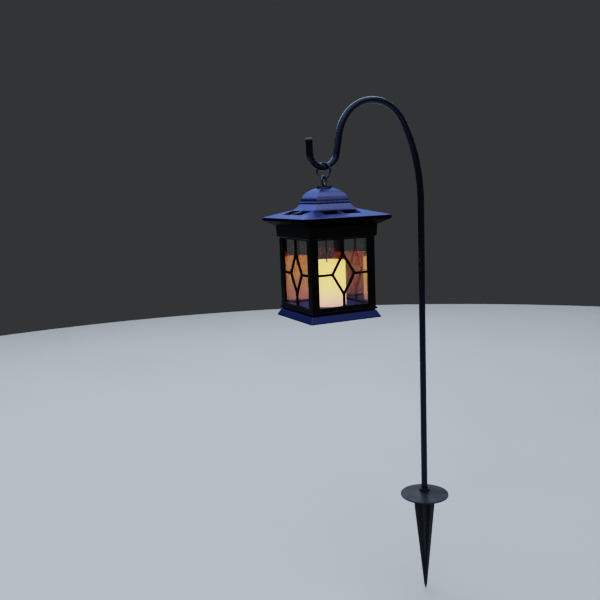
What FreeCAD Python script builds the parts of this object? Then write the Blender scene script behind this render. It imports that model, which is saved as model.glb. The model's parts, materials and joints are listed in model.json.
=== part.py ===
import FreeCAD, Part
import math
import os

# Solar garden light: a square lantern hanging by a ring from a shepherd's hook on a ground stake.
#
# Frame: +Z up, millimetres. The origin is on the pole's axis at the ground line, the underside
# of the stake's flange. The hook lies in the XZ plane and holds the lantern on the -X side.
# Lantern and hook heights are measured from the lantern's own underside, and both are drawn
# about the lantern's axis: hang() puts them in place.

Vec = FreeCAD.Vector
X_AXIS = Vec(1, 0, 0)
Z_AXIS = Vec(0, 0, 1)

# ---- driving dimensions -------------------------------------------------------------------

REACH = 170.0            # pole axis to lantern axis
UNDERSIDE_Z = 320.0      # ground line to the lantern's underside

# stick
FLANGE_R = 39.0
FLANGE_THICK = 2.4
COLLAR_R = 8.2
COLLAR_HIGH = 12.0
SPIKE_TIP_Z = -165.0
FIN_TOP = 20.5           # half width of the spike's fins under the flange
FIN_THICK = 3.0
CORE_LONG = 116.0
TUBE_R = 5.0
TUBE_WALL = 0.8
FIT_GAP = 0.05           # radial clearance of a running or push fit
SPIGOT_LENGTH = 20.0
SOCKET_DEPTH = 28.0
LOWER_JOINT_Z = 205.0    # lower tube's shoulder
UPPER_JOINT_Z = 410.0    # middle tube's shoulder

# hook, heights from the lantern's underside
HOOK_TOP = 315.5         # centreline at the top of the arch
ARCH_R = 60.5
ARM_LEAN = math.radians(11)
SHOULDER_TURN = math.radians(27.5)
SADDLE_R = 22.0
SADDLE_Z = 218.8
TIP_Z = 257.8
TIP_CAP = 3.0

# hanging ring and eye
RING_R = 11.0
RING_WIRE_R = 1.2
RING_YAW = 35.0
EYE_R = 6.5
EYE_WIRE_R = 1.5
HANG_GAP = 0.03          # play where wire rests on wire

# roof, half widths and heights
EAVE_HALF = 70.0
EAVE_TOP = 148.5
EAVE_BOTTOM = 143.2
SOFFIT_HALF = 55.6
SOFFIT_Z = 135.5
FLARE_HALF = 34.9
FLARE_Z = 158.2
NECK_HALF = 27.2
NECK_Z = 166.6
FLARE_MID = (30.6, 162.0)  # middle of the flare's hollow curve
BEAD_HALF = 27.3         # bead that the dome stands on
DOME_HALF = 26.0
DOME_Z = 170.0
ROOF_TOP = 190.0
SHELL = 2.2
WASHER_TOP = 186.9       # underside of the hanger's seat in the dome
WASHER_THICK = 1.0
HANGER_SEAT_R = 11.0
SHANK_R = 2.0
SHANK_LOW = 179.0        # lower end of the hanger's thread
NUT_ACROSS = 7.0
NUT_THICK = 3.2

# solar pockets, two on each slope
POCKET_LONG = 28.5
POCKET_WIDE = 18.0
POCKET_DEEP = 2.0
POCKET_RIB = 3.0
POCKET_HALF = 46.0       # distance of the pockets' middle from the lantern's axis
CELL_THICK = 1.0
COVER_THICK = 0.8
POCKET_PLAY = 0.15
TRAY_WALL = 1.4

# body
FACE_HALF = 51.7
FRAME_THICK = 3.5
WINDOW_HALF = 40.1
WINDOW_LOW = 20.8
WINDOW_HIGH = 116.4
FRIEZE_HALF = 54.4
PANE_THICK = 1.4
DIAMOND_MID = 67.2
DIAMOND_TALL = 28.9
DIAMOND_WIDE = 17.6
BAR = 3.4
BAR_DEEP = 2.6
BAR_SINK = 0.4

# base
SKIRT_HALF = 57.2
SKIRT_RIM = 1.2
SKIRT_TOP_HALF = 52.4
SKIRT_TOP = 10.0
GROOVE_HALF = 51.0
LEDGE_HALF = 53.5
LEDGE_LOW = 12.5
LEDGE_Z = 15.0
PLATFORM_HALF = 46.2
PLATFORM_Z = 17.5
COVER_LOW = 2.5
COVER_HIGH = 4.5
COVER_HALF = 49.6

# candle and electrics
CANDLE_R = 27.2
CANDLE_WALL = 1.8
CANDLE_TOP = 82.5
CANDLE_SEAT = 5.0
CANDLE_CROWN = 3.6       # thickness of the candle's top at its edge
CANDLE_HOLE_R = 2.2
LEAD_R = 1.0
LEAD_TOP = 146.0         # underside of the connector block in the roof
POST_BORE_R = 1.5
LAMP_Z = 46.0
LAMP_BOARD_THICK = 1.2
WIRE_X = 6.0             # lamp wires, each side of the axis
BOARD_Z = 10.0
BOARD_THICK = 1.6
BOARD_SCREW_X = 29.0
BOARD_SCREW_Y = 3.0
BATTERY_R = 5.25
BATTERY_LONG = 44.5
BATTERY_Y = -30.0
BATTERY_Z = 10.2

# door and switch
DOOR_LONG = 62.0
DOOR_WIDE = 20.0
DOOR_GAP = 0.3
DOOR_HINGE_Y = -20.0
SWITCH_X = 8.0
SWITCH_Y = 4.0
SWITCH_TRAVEL = 4.0
SWITCH_LOW = 5.4
KNOB_HALF = 1.5
KNOB_LOW = 1.3
KNOB_HIGH = 8.0

SCREW_AT = 44.0          # corner screws, from the lantern's axis
SIDES = ("front", "right", "back", "left")


# ---- helpers ------------------------------------------------------------------------------

def box(x0, x1, y0, y1, z0, z1):
    """Box between two corners."""
    return Part.makeBox(x1 - x0, y1 - y0, z1 - z0, Vec(x0, y0, z0))


def plate(half, z0, z1):
    """Square plate centred on the axis."""
    return box(-half, half, -half, half, z0, z1)


def rod(radius, z0, z1, x=0.0, y=0.0):
    """Upright cylinder."""
    return Part.makeCylinder(radius, z1 - z0, Vec(x, y, z0), Z_AXIS)


def pipe(radius, bore, z0, z1, x=0.0, y=0.0):
    """Upright cylinder with a bore."""
    return rod(radius, z0, z1, x, y).cut(rod(bore, z0 - 1, z1 + 1, x, y))


def turned(shape, degrees):
    """Copy of a shape turned about the lantern's axis."""
    copy = shape.copy()
    copy.rotate(Vec(0, 0, 0), Z_AXIS, degrees)
    return copy


def corners(distance):
    """The four places at plus or minus distance in X and Y."""
    return [(sx * distance, sy * distance) for sx in (-1, 1) for sy in (-1, 1)]


def square_turning(points, arcs=()):
    """Solid whose outline in (half width, height) is the same on all four sides.

    points runs up the outside from the axis and back to the axis; arcs gives a middle
    point for the span that starts at that index.
    """
    middles = dict(arcs)
    edges = []
    for index, (half, z) in enumerate(points):
        nxt = points[(index + 1) % len(points)]
        start, end = Vec(half, 0, z), Vec(nxt[0], 0, nxt[1])
        if index in middles:
            mid = Vec(middles[index][0], 0, middles[index][1])
            edges.append(Part.Arc(start, mid, end).toShape())
        else:
            edges.append(Part.LineSegment(start, end).toShape())
    half_face = Part.Face(Part.Wire(edges))
    reach = 2 * max(half for half, _ in points)
    across = half_face.extrude(Vec(0, reach, 0))
    across.translate(Vec(0, -reach / 2, 0))
    mirrored = across.mirror(Vec(0, 0, 0), X_AXIS)
    along_y = across.fuse(mirrored).removeSplitter()
    along_x = turned(along_y, 90)
    return along_y.common(along_x)


def ellipse_point(half, height, base, share):
    """Point on a quarter ellipse that stands on base, share from 0 at its foot to 1 on top."""
    angle = share * math.pi / 2
    return (half * math.cos(angle), base + height * math.sin(angle))


def domed(half, base, top):
    """Points and arc middles of a quarter ellipse, as three arcs."""
    shares = (0.0, 0.3, 0.62, 1.0)
    points = [ellipse_point(half, top - base, base, share) for share in shares]
    middles = [ellipse_point(half, top - base, base, (a + b) / 2) for a, b in zip(shares, shares[1:])]
    return points, middles


def screw(x, y, head_z, length):
    """Cross-head screw whose head starts at head_z, with its shank above it."""
    head = rod(2.5, head_z, head_z + 1.6, x, y)
    shank = rod(1.2, head_z + 1.6, head_z + 1.6 + length, x, y)
    slot = box(x - 1.5, x + 1.5, y - 0.3, y + 0.3, head_z - 0.1, head_z + 0.8)
    cross = box(x - 0.3, x + 0.3, y - 1.5, y + 1.5, head_z - 0.1, head_z + 0.8)
    return head.fuse(shank).cut(slot).cut(cross)


def hang(shape):
    """Put a shape of the lantern, drawn on its own axis, where the lantern hangs."""
    copy = shape.copy()
    copy.translate(Vec(-REACH, 0, UNDERSIDE_Z))
    return copy


def save(node, shape):
    """Write one node."""
    solids = shape.Solids
    out = solids[0] if len(solids) == 1 else Part.Compound(solids)
    out.exportStep(os.path.join("parts", node + ".step"))


# ---- stick --------------------------------------------------------------------------------

def ground_stake():
    """Cross-ribbed spike with a flange at the ground line and a socket for the tube."""
    waist, waist_z, tip = FIN_TOP - 1.5, -20.0, 2.2
    outline = [Vec(-FIN_TOP, 0, 0), Vec(FIN_TOP, 0, 0), Vec(waist, 0, waist_z),
               Vec(tip, 0, SPIKE_TIP_Z + 6), Vec(0, 0, SPIKE_TIP_Z), Vec(-tip, 0, SPIKE_TIP_Z + 6),
               Vec(-waist, 0, waist_z), Vec(-FIN_TOP, 0, 0)]
    blade = Part.Face(Part.makePolygon(outline)).extrude(Vec(0, FIN_THICK, 0))
    blade.translate(Vec(0, -FIN_THICK / 2, 0))
    core = Part.makeCone(3.0, COLLAR_R, CORE_LONG, Vec(0, 0, -CORE_LONG), Z_AXIS)
    flange = rod(FLANGE_R, 0, FLANGE_THICK)
    crown = Part.makeCone(FLANGE_R - 4, COLLAR_R + 1.3, 4.6, Vec(0, 0, FLANGE_THICK), Z_AXIS)
    collar = rod(COLLAR_R, 0, COLLAR_HIGH)
    body = blade.fuse([turned(blade, 90), core, flange, crown, collar])
    socket = rod(TUBE_R + FIT_GAP, -SOCKET_DEPTH, COLLAR_HIGH + 1)
    return body.cut(socket).removeSplitter()


def tube_section(z0, shoulder):
    """Straight steel tube with a narrowed spigot above its shoulder."""
    bore = TUBE_R - TUBE_WALL
    neck = bore - FIT_GAP
    top = shoulder + SPIGOT_LENGTH
    outline = [(TUBE_R, z0), (TUBE_R, shoulder), (neck, shoulder), (neck, top), (neck - TUBE_WALL, top),
               (neck - TUBE_WALL, shoulder - 2), (bore, shoulder - 4), (bore, z0), (TUBE_R, z0)]
    wall = Part.Face(Part.makePolygon([Vec(radius, 0, z) for radius, z in outline]))
    return wall.revolve(Vec(0, 0, 0), Z_AXIS, 360)


def hook_path():
    """Centreline of the hook from the upper joint to its tip, as tangent lines and arcs."""
    saddle_mid = Vec(0, 0, SADDLE_Z + SADDLE_R)
    arm_foot = saddle_mid + Vec(SADDLE_R * math.cos(ARM_LEAN), 0, -SADDLE_R * math.sin(ARM_LEAN))
    arc_mid_z = HOOK_TOP - ARCH_R
    arm_head_z = arc_mid_z + ARCH_R * math.sin(ARM_LEAN)
    arm_head = Vec(arm_foot.x + (arm_head_z - arm_foot.z) * math.tan(ARM_LEAN), 0, arm_head_z)
    arch_mid = arm_head + Vec(ARCH_R * math.cos(ARM_LEAN), 0, -ARCH_R * math.sin(ARM_LEAN))
    turn = math.pi / 2 - SHOULDER_TURN
    shoulder = arch_mid + Vec(ARCH_R * math.sin(turn), 0, ARCH_R * math.cos(turn))
    wide_r = (REACH - shoulder.x) / (1 - math.sin(turn))
    wide_mid = Vec(REACH - wide_r, 0, shoulder.z - wide_r * math.cos(turn))
    half_turn = (turn + math.pi / 2) / 2
    wide_via = wide_mid + Vec(wide_r * math.sin(half_turn), 0, wide_r * math.cos(half_turn))
    leg_head = wide_mid + Vec(wide_r, 0, 0)
    leg_foot = Vec(REACH, 0, UPPER_JOINT_Z - UNDERSIDE_Z)
    saddle_via = saddle_mid + Vec(0, 0, -SADDLE_R)
    tip_foot = saddle_mid + Vec(-SADDLE_R, 0, 0)
    tip = Vec(-SADDLE_R, 0, TIP_Z)
    parts = [Part.LineSegment(leg_foot, leg_head), Part.Arc(leg_head, wide_via, shoulder),
             Part.Arc(shoulder, arch_mid + Vec(0, 0, ARCH_R), arm_head),
             Part.LineSegment(arm_head, arm_foot), Part.Arc(arm_foot, saddle_via, tip_foot),
             Part.LineSegment(tip_foot, tip)]
    return Part.Wire([part.toShape() for part in parts])


def swept(path, radius):
    """Round bar along a path that starts upright."""
    start = path.Edges[0].valueAt(path.Edges[0].FirstParameter)
    ring = Part.Wire(Part.makeCircle(radius, start, Z_AXIS))
    return path.makePipeShell([ring], True, True)


def hook_section():
    """Bent tube: straight leg, arch, slanted arm and J-shaped saddle."""
    path = hook_path()
    bore = TUBE_R - TUBE_WALL
    tube = Part.Solid(swept(path, TUBE_R)).cut(Part.Solid(swept(path, bore)))
    print("hook length", round(path.Length, 1), "volume", round(tube.Volume, 1), "expected",
          round(path.Length * math.pi * (TUBE_R ** 2 - bore ** 2), 1))
    return tube


def hook_tip_cap():
    """Plastic plug in the open end of the hook."""
    x = -SADDLE_R
    head = rod(TUBE_R, TIP_Z, TIP_Z + TIP_CAP, x)
    head = head.makeFillet(1.2, [head.Edges[0]])
    stem = rod(TUBE_R - TUBE_WALL - FIT_GAP, TIP_Z - 8, TIP_Z, x)
    return head.fuse(stem)


def hanging_ring():
    """Wire ring over the saddle."""
    mid_z = SADDLE_Z + TUBE_R - (RING_R - RING_WIRE_R) + HANG_GAP
    ring = Part.makeTorus(RING_R, RING_WIRE_R, Vec(0, 0, 0), X_AXIS)
    ring.rotate(Vec(0, 0, 0), Z_AXIS, RING_YAW)
    ring.translate(Vec(0, 0, mid_z))
    return ring


def ring_foot():
    """Height of the ring's wire centre at its lowest point."""
    return SADDLE_Z + TUBE_R + HANG_GAP + RING_WIRE_R - 2 * RING_R


# ---- roof ---------------------------------------------------------------------------------

def hanger_eye():
    """Wire eye through the ring, with a round foot plate and a threaded shank."""
    eye_z = ring_foot() + RING_WIRE_R + HANG_GAP - (EYE_R - EYE_WIRE_R)
    eye = Part.makeTorus(EYE_R, EYE_WIRE_R, Vec(0, 0, 0), X_AXIS)
    eye.rotate(Vec(0, 0, 0), Z_AXIS, RING_YAW + 90)
    eye.translate(Vec(0, 0, eye_z))
    foot = rod(HANGER_SEAT_R, ROOF_TOP, ROOF_TOP + 1.4)
    shank = rod(SHANK_R, SHANK_LOW, eye_z - EYE_R)
    return eye.fuse([foot, shank])


def hanger_washer():
    """Steel washer under the dome."""
    return pipe(5.0, SHANK_R + 0.1, WASHER_TOP - WASHER_THICK, WASHER_TOP)


def hanger_nut():
    """Hexagon nut on the shank."""
    corner = NUT_ACROSS / 2 / math.cos(math.pi / 6)
    low = WASHER_TOP - WASHER_THICK - NUT_THICK
    points = [Vec(corner * math.cos(k * math.pi / 3), corner * math.sin(k * math.pi / 3), low)
              for k in range(7)]
    nut = Part.Face(Part.makePolygon(points)).extrude(Vec(0, 0, NUT_THICK))
    return nut.cut(rod(SHANK_R + FIT_GAP, low - 1, WASHER_TOP))


def slope_place(side):
    """Placement of the solar pockets' middle on one slope: X along the eave, Y up the slope."""
    rise = (FLARE_Z - EAVE_TOP) / (EAVE_HALF - FLARE_HALF)
    mid_z = EAVE_TOP + (EAVE_HALF - POCKET_HALF) * rise
    tilt = FreeCAD.Placement(Vec(0, -POCKET_HALF, mid_z),
                             FreeCAD.Rotation(X_AXIS, math.degrees(math.atan(rise))))
    turn = FreeCAD.Placement(Vec(0, 0, 0), FreeCAD.Rotation(Z_AXIS, 90 * side))
    return turn.multiply(tilt)


def pocket_blocks(side, low, high, play=0.0):
    """A pair of flat blocks in the two pockets of one slope, between two depths."""
    blocks = []
    for sign in (-1, 1):
        mid = sign * (POCKET_RIB + POCKET_LONG) / 2
        half_long, half_wide = POCKET_LONG / 2 - play, POCKET_WIDE / 2 - play
        block = box(mid - half_long, mid + half_long, -half_wide, half_wide, low, high)
        block.Placement = slope_place(side)
        blocks.append(block)
    return blocks


def roof_outline():
    """Outer outline of the roof, with the ogee flare, a bead under the dome, and the dome."""
    dome, middles = domed(DOME_HALF, DOME_Z, ROOF_TOP)
    points = [(0, SOFFIT_Z), (SOFFIT_HALF, SOFFIT_Z), (EAVE_HALF - 0.8, EAVE_BOTTOM),
              (EAVE_HALF, EAVE_BOTTOM + 0.8), (EAVE_HALF, EAVE_TOP - 0.6), (EAVE_HALF - 0.6, EAVE_TOP),
              (FLARE_HALF, FLARE_Z), (NECK_HALF, NECK_Z), (BEAD_HALF, NECK_Z + 0.6),
              (BEAD_HALF, DOME_Z - 0.6), (DOME_HALF, DOME_Z)]
    arcs = {6: FLARE_MID, 8: (BEAD_HALF + 0.4, (NECK_Z + DOME_Z) / 2)}
    first = len(points) - 1
    for step, middle in enumerate(middles):
        arcs[first + step] = middle
    return points + dome[1:], arcs


def roof_hollow():
    """Hollow inside the roof, one shell thickness in from the outline."""
    dome, middles = domed(DOME_HALF - SHELL, DOME_Z, ROOF_TOP - SHELL)
    points = [(0, SOFFIT_Z - 1), (SOFFIT_HALF - SHELL, SOFFIT_Z - 1),
              (SOFFIT_HALF - SHELL, SOFFIT_Z + 2.2), (EAVE_HALF - 3.4, EAVE_BOTTOM + 2.0),
              (EAVE_HALF - 3.4, EAVE_TOP - 1.6), (FLARE_HALF - 0.9, FLARE_Z - SHELL - 0.2),
              (DOME_HALF - SHELL, NECK_Z - 1.2), (DOME_HALF - SHELL, DOME_Z)]
    first = len(points) - 1
    arcs = {first + step: middle for step, middle in enumerate(middles)}
    return points + dome[1:], arcs


def roof_shell():
    """Roof moulding with its solar pockets, screw bosses and a seat for the hanger."""
    solid = square_turning(*roof_outline())
    outer = solid.fuse(rod(HANGER_SEAT_R, ROOF_TOP - 6, ROOF_TOP))
    shell = outer.cut(square_turning(*roof_hollow()))
    tray = Part.makeCompound([block for side in range(4)
                              for block in pocket_blocks(side, -POCKET_DEEP - TRAY_WALL, 0, -TRAY_WALL)])
    bosses = [rod(3.6, SOFFIT_Z + 2.0, 160, x, y) for x, y in corners(SCREW_AT)]
    bosses.append(rod(6.5, WASHER_TOP, ROOF_TOP))
    for piece in [tray] + bosses:
        shell = shell.fuse(piece.common(solid))
    for side in range(4):
        for block in pocket_blocks(side, -POCKET_DEEP, 3):
            shell = shell.cut(block)
    for x, y in corners(SCREW_AT):
        shell = shell.cut(rod(1.2 + FIT_GAP, SOFFIT_Z, SOFFIT_Z + 11, x, y))
    return shell.cut(rod(SHANK_R + FIT_GAP, SHANK_LOW, ROOF_TOP + 1))


def solar_panel(side):
    """Two cells on their backing, one in each pocket."""
    panels = []
    floor = pocket_blocks(side, -POCKET_DEEP, -POCKET_DEEP + 0.6, POCKET_PLAY)
    cells = pocket_blocks(side, -POCKET_DEEP + 0.6, -POCKET_DEEP + CELL_THICK, POCKET_PLAY + 1.0)
    for backing, cell in zip(floor, cells):
        panels.append(backing.fuse(cell))
    return Part.makeCompound(panels)


def solar_cover(side):
    """Clear plates over the two cells."""
    low = -POCKET_DEEP + CELL_THICK
    return Part.makeCompound(pocket_blocks(side, low, low + COVER_THICK, POCKET_PLAY))


def tab_boxes(z0, z1, play=0.0):
    """Two locating tabs of each side frame, or their slots when play is given."""
    tabs = []
    for side in range(4):
        for x in (-25, 25):
            tab = box(x - 4 - play, x + 4 + play, -50.6 - play, -49.0 + play, z0, z1)
            tabs.append(turned(tab, 90 * side))
    return tabs


def ceiling_plate():
    """Plate that closes the roof, with slots for the frames and a hole for the lead."""
    half = SOFFIT_HALF - SHELL - 0.2
    sheet = plate(half, SOFFIT_Z, SOFFIT_Z + 2.0)
    for slot in tab_boxes(SOFFIT_Z - 1, SOFFIT_Z + 3, 0.15):
        sheet = sheet.cut(slot)
    for x, y in corners(SCREW_AT):
        sheet = sheet.cut(rod(1.4, SOFFIT_Z - 1, SOFFIT_Z + 3, x, y))
    return sheet.cut(rod(3.0, SOFFIT_Z - 1, SOFFIT_Z + 3))


def grommet(z0, z1, hole_r):
    """Rubber grommet round the solar lead, clamped on a plate from z0 to z1."""
    barrel = rod(hole_r, z0, z1)
    collars = [rod(hole_r + 1.4, z0 - 1.0, z0), rod(hole_r + 1.4, z1, z1 + 1.0)]
    return barrel.fuse(collars).cut(rod(LEAD_R, z0 - 2, z1 + 2))


def ceiling_screws():
    """Four screws up through the ceiling plate into the roof."""
    return Part.makeCompound([screw(x, y, SOFFIT_Z - 1.6, 9.5) for x, y in corners(SCREW_AT)])


# ---- body ---------------------------------------------------------------------------------

def lattice():
    """Diamond with four bars out to the frame, for the front face."""
    outer_y = -FACE_HALF + BAR_SINK
    inner_y = outer_y + BAR_DEEP

    def rhombus(wide, tall):
        points = [Vec(wide, outer_y, DIAMOND_MID), Vec(0, outer_y, DIAMOND_MID + tall),
                  Vec(-wide, outer_y, DIAMOND_MID), Vec(0, outer_y, DIAMOND_MID - tall),
                  Vec(wide, outer_y, DIAMOND_MID)]
        return Part.Face(Part.makePolygon(points)).extrude(Vec(0, BAR_DEEP, 0))

    slant = math.hypot(DIAMOND_WIDE, DIAMOND_TALL)
    half_bar = BAR / 2
    grow = (half_bar * slant / DIAMOND_TALL, half_bar * slant / DIAMOND_WIDE)
    ring = rhombus(DIAMOND_WIDE + grow[0], DIAMOND_TALL + grow[1])
    ring = ring.cut(rhombus(DIAMOND_WIDE - grow[0], DIAMOND_TALL - grow[1]))
    reach = 2.0
    bars = [box(-half_bar, half_bar, outer_y, inner_y, DIAMOND_MID + DIAMOND_TALL, WINDOW_HIGH + reach),
            box(-half_bar, half_bar, outer_y, inner_y, WINDOW_LOW - reach, DIAMOND_MID - DIAMOND_TALL)]
    for sign in (-1, 1):
        ends = sorted((sign * DIAMOND_WIDE, sign * (WINDOW_HALF + reach)))
        bars.append(box(ends[0], ends[1], outer_y, inner_y, DIAMOND_MID - half_bar, DIAMOND_MID + half_bar))
    return ring.fuse(bars)


def side_frame(side):
    """Mitred frame of one side: stiles, rails, frieze, lattice and locating tabs."""
    inner = FACE_HALF - FRAME_THICK
    outline = [(inner, LEDGE_Z), (FACE_HALF, LEDGE_Z), (FACE_HALF, WINDOW_HIGH + 1.4),
               (FRIEZE_HALF - 0.6, WINDOW_HIGH + 2.6), (FRIEZE_HALF, WINDOW_HIGH + 3.6),
               (FRIEZE_HALF + 0.6, SOFFIT_Z), (inner, SOFFIT_Z)]
    points = [Vec(-60, -half, z) for half, z in outline + outline[:1]]
    bar = Part.Face(Part.makePolygon(points)).extrude(Vec(120, 0, 0))
    wedge_points = [Vec(0, 0, 0), Vec(-70, -70, 0), Vec(70, -70, 0), Vec(0, 0, 0)]
    wedge = Part.Face(Part.makePolygon(wedge_points)).extrude(Vec(0, 0, 200))
    window = box(-WINDOW_HALF, WINDOW_HALF, -60, -40, WINDOW_LOW, WINDOW_HIGH)
    frame = bar.common(wedge).cut(window).fuse(lattice())
    tabs = tab_boxes(LEDGE_Z - 2, LEDGE_Z)[:2] + tab_boxes(SOFFIT_Z, SOFFIT_Z + 1.8)[:2]
    return turned(frame.fuse(tabs).removeSplitter(), 90 * side)


def pane(side):
    """Clear pane behind a frame; the front and back ones run the full width."""
    outer = FACE_HALF - FRAME_THICK
    half = outer if side % 2 == 0 else outer - PANE_THICK
    sheet = box(-half, half, -outer, -outer + PANE_THICK, LEDGE_Z, SOFFIT_Z)
    return turned(sheet, 90 * side)


def base_outline():
    """Outer outline of the base: flared skirt, groove, ledge and platform."""
    return [(0, 0), (SKIRT_HALF, 0), (SKIRT_HALF, SKIRT_RIM), (SKIRT_TOP_HALF, SKIRT_TOP),
            (GROOVE_HALF, SKIRT_TOP), (GROOVE_HALF, LEDGE_LOW), (LEDGE_HALF, LEDGE_LOW),
            (LEDGE_HALF, LEDGE_Z), (PLATFORM_HALF, LEDGE_Z), (PLATFORM_HALF, PLATFORM_Z),
            (0, PLATFORM_Z)]


def base_hollow():
    """Hollow of the base, open below."""
    wall = 1.8
    return [(0, -1), (SKIRT_HALF - wall, -1), (SKIRT_HALF - wall, SKIRT_RIM),
            (GROOVE_HALF - wall + 0.4, 8.6), (GROOVE_HALF - wall, LEDGE_Z - 2),
            (PLATFORM_HALF - 2.2, LEDGE_Z - 2), (PLATFORM_HALF - 2.2, PLATFORM_Z - 2),
            (0, PLATFORM_Z - 2)]


def base_shell():
    """Base moulding with candle seat, battery cradle, screw bosses and frame slots."""
    shell = square_turning(base_outline()).cut(square_turning(base_hollow()))
    seat = pipe(CANDLE_R - CANDLE_WALL - 0.1, CANDLE_R - CANDLE_WALL - 1.9, PLATFORM_Z - 1,
                PLATFORM_Z + CANDLE_SEAT)
    roof_z = PLATFORM_Z - 1
    adds = [seat]
    adds += [pipe(3.2, 1.2 + FIT_GAP, COVER_HIGH, LEDGE_Z - 1, x, y) for x, y in corners(SCREW_AT)]
    adds += [pipe(2.6, 0.9, BOARD_Z + BOARD_THICK, roof_z, sign * BOARD_SCREW_X, BOARD_SCREW_Y)
             for sign in (-1, 1)]
    snug = BATTERY_R + 0.1
    for x in (-14, 14):
        rib = box(x - 1, x + 1, BATTERY_Y - snug - 2, BATTERY_Y + snug + 2, 6.4, roof_z)
        saddle = Part.makeCylinder(snug, 10, Vec(x - 5, BATTERY_Y, BATTERY_Z), X_AXIS)
        way_in = box(x - 2, x + 2, BATTERY_Y - snug, BATTERY_Y + snug, 0, BATTERY_Z)
        adds.append(rib.cut(saddle).cut(way_in))
    shell = shell.fuse(adds)
    for slot in tab_boxes(LEDGE_Z - 4, LEDGE_Z + 1, 0.15):
        shell = shell.cut(slot)
    shell = shell.cut(rod(LEAD_R + 0.6, LEDGE_Z - 3, PLATFORM_Z + 1))
    for x in (-WIRE_X, WIRE_X):
        shell = shell.cut(rod(0.9, LEDGE_Z - 3, PLATFORM_Z + 1, x, 0))
    return shell


# ---- candle and electrics -----------------------------------------------------------------

def candle_shell():
    """Translucent candle: a tube with a dished top and a hole for the lead."""
    bore = CANDLE_R - CANDLE_WALL
    body = rod(CANDLE_R, PLATFORM_Z, CANDLE_TOP)
    top_edge = [edge for edge in body.Edges if abs(edge.CenterOfMass.z - CANDLE_TOP) < 0.01]
    body = body.makeFillet(1.6, top_edge[:1])
    body = body.cut(rod(bore, PLATFORM_Z - 1, CANDLE_TOP - CANDLE_CROWN))
    dish_r = 90.0
    dish = Part.makeSphere(dish_r, Vec(0, 0, CANDLE_TOP + dish_r - 2.0))
    return body.cut(dish).cut(rod(CANDLE_HOLE_R, CANDLE_TOP - 6, CANDLE_TOP + 2))


def candle_grommet():
    """Rubber grommet that holds the lead in the candle's top."""
    low = CANDLE_TOP - CANDLE_CROWN
    return pipe(CANDLE_HOLE_R, LEAD_R, low, low + 2.2).fuse(pipe(CANDLE_HOLE_R + 1.2, LEAD_R, low - 1.0, low))


def solar_lead():
    """Lead from the solar cells straight down the middle to the board."""
    return rod(LEAD_R, BOARD_Z + BOARD_THICK, LEAD_TOP)


def lead_block():
    """Small connector block in the roof where the cells' wires join the lead."""
    return box(-7, 7, -4, 4, LEAD_TOP, LEAD_TOP + 6)


def lamp_holder():
    """Hollow post round the lead that carries the lamp board inside the candle."""
    post = pipe(4.0, POST_BORE_R, PLATFORM_Z, LAMP_Z)
    foot = pipe(9.0, POST_BORE_R, PLATFORM_Z, PLATFORM_Z + 2)
    holder = post.fuse(foot)
    for x in (-WIRE_X, WIRE_X):
        holder = holder.cut(rod(0.9, PLATFORM_Z - 1, PLATFORM_Z + 3, x, 0))
    return holder


def lamp_board():
    """Round board on top of the post."""
    board = pipe(9.5, POST_BORE_R, LAMP_Z, LAMP_Z + LAMP_BOARD_THICK)
    for x in (-WIRE_X, WIRE_X):
        board = board.cut(rod(0.6, LAMP_Z - 1, LAMP_Z + 2, x, 0))
    return board


def led_lamps():
    """Three round-topped lamps on the board."""
    lamps = []
    lens_r, lens_z = 2.5, LAMP_Z + LAMP_BOARD_THICK + 5.5
    for k in range(3):
        angle = math.radians(90 + 120 * k)
        x, y = 6.2 * math.cos(angle), 6.2 * math.sin(angle)
        rim = rod(lens_r + 0.4, lens_z - 5.5, lens_z - 4.5, x, y)
        lens = rod(lens_r, lens_z - 4.5, lens_z, x, y)
        lamps.append(rim.fuse([lens, Part.makeSphere(lens_r, Vec(x, y, lens_z))]))
    return Part.makeCompound(lamps)


def lamp_wires():
    """Two wires from the circuit board up to the lamp board."""
    top = LAMP_Z + LAMP_BOARD_THICK
    return Part.makeCompound([rod(0.55, BOARD_Z + BOARD_THICK, top, x, 0) for x in (-WIRE_X, WIRE_X)])


def circuit_board():
    """Control board with its chip, capacitor and coil."""
    board = box(-33, 33, -9, 15, BOARD_Z, BOARD_Z + BOARD_THICK)
    for x in (-BOARD_SCREW_X, BOARD_SCREW_X):
        board = board.cut(rod(1.1, BOARD_Z - 1, BOARD_Z + 3, x, BOARD_SCREW_Y))
    top = BOARD_Z + BOARD_THICK
    parts = [box(-20, -14, 4, 9, top, top + 1.6), box(-24, -20.5, -6, -2.5, top, top + 1.2),
             rod(2.2, top, top + 3.4, 14, 9), rod(2.6, BOARD_Z - 3, BOARD_Z, -10, -2)]
    return board.fuse(parts)


def board_screws():
    """Two screws that hold the board up to its posts."""
    screws = []
    y = BOARD_SCREW_Y
    for x in (-BOARD_SCREW_X, BOARD_SCREW_X):
        head = rod(2.0, BOARD_Z - 1.4, BOARD_Z, x, y)
        slot = box(x - 1.2, x + 1.2, y - 0.25, y + 0.25, BOARD_Z - 1.5, BOARD_Z - 0.8)
        screws.append(head.cut(slot).fuse(rod(0.85, BOARD_Z, BOARD_Z + 5, x, y)))
    return Part.makeCompound(screws)


def battery():
    """Rechargeable cell lying in its cradle, with its button at +X."""
    half = BATTERY_LONG / 2
    can = Part.makeCylinder(BATTERY_R, BATTERY_LONG - 0.8, Vec(-half, BATTERY_Y, BATTERY_Z), X_AXIS)
    button = Part.makeCylinder(1.9, BATTERY_LONG, Vec(-half, BATTERY_Y, BATTERY_Z), X_AXIS)
    return can.fuse(button)


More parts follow.
